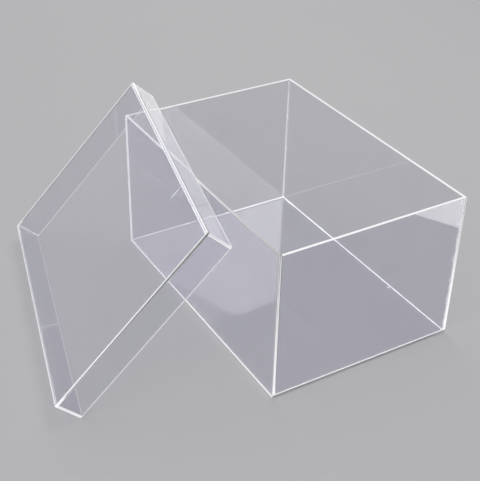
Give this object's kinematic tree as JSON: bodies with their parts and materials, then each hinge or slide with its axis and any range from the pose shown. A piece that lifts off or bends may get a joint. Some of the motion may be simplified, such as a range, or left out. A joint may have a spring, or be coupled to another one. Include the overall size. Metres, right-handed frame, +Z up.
{
  "type": "shoe display box",
  "caption": "Clear acrylic open-top display box for a pair of shoes, with its lift-off tray lid taken off and leaning over the box's front corner.",
  "frame": {"origin": "middle of the base's underside, on the surface that the box stands on", "axes": "+X along the box's length, to the right wall; +Y to the back wall, away from the leaning lid; +Z up, out of the box's open top"},
  "size_m": [0.4244, 0.4523, 0.2073],
  "materials": {
    "box_acrylic": "clear cast sheet with polished cut edges",
    "lid_acrylic": "clear cast sheet with polished cut edges",
    "cement": "dried solvent cement, slightly cloudy, with a few trapped bubbles"
  },
  "bodies": {
    "box": {"base": "box_acrylic", "front_wall": "box_acrylic", "right_wall": "box_acrylic", "back_wall": "box_acrylic", "left_wall": "box_acrylic", "front_base_bead": "cement", "right_base_bead": "cement", "back_base_bead": "cement", "left_base_bead": "cement", "front_right_corner_bead": "cement", "back_right_corner_bead": "cement", "back_left_corner_bead": "cement", "front_left_corner_bead": "cement"},
    "lid": {"lid_panel": "lid_acrylic", "lid_front_rim": "lid_acrylic", "lid_right_rim": "lid_acrylic", "lid_back_rim": "lid_acrylic", "lid_left_rim": "lid_acrylic", "lid_front_panel_bead": "cement", "lid_right_panel_bead": "cement", "lid_back_panel_bead": "cement", "lid_left_panel_bead": "cement", "lid_front_right_corner_bead": "cement", "lid_back_right_corner_bead": "cement", "lid_back_left_corner_bead": "cement", "lid_front_left_corner_bead": "cement"}
  },
  "joints": [
    {"name": "lid_lift", "type": "slide", "parent": "box", "child": "lid", "axis": [0, 0, 1], "range_m": [0, 0.2]}
  ]
}
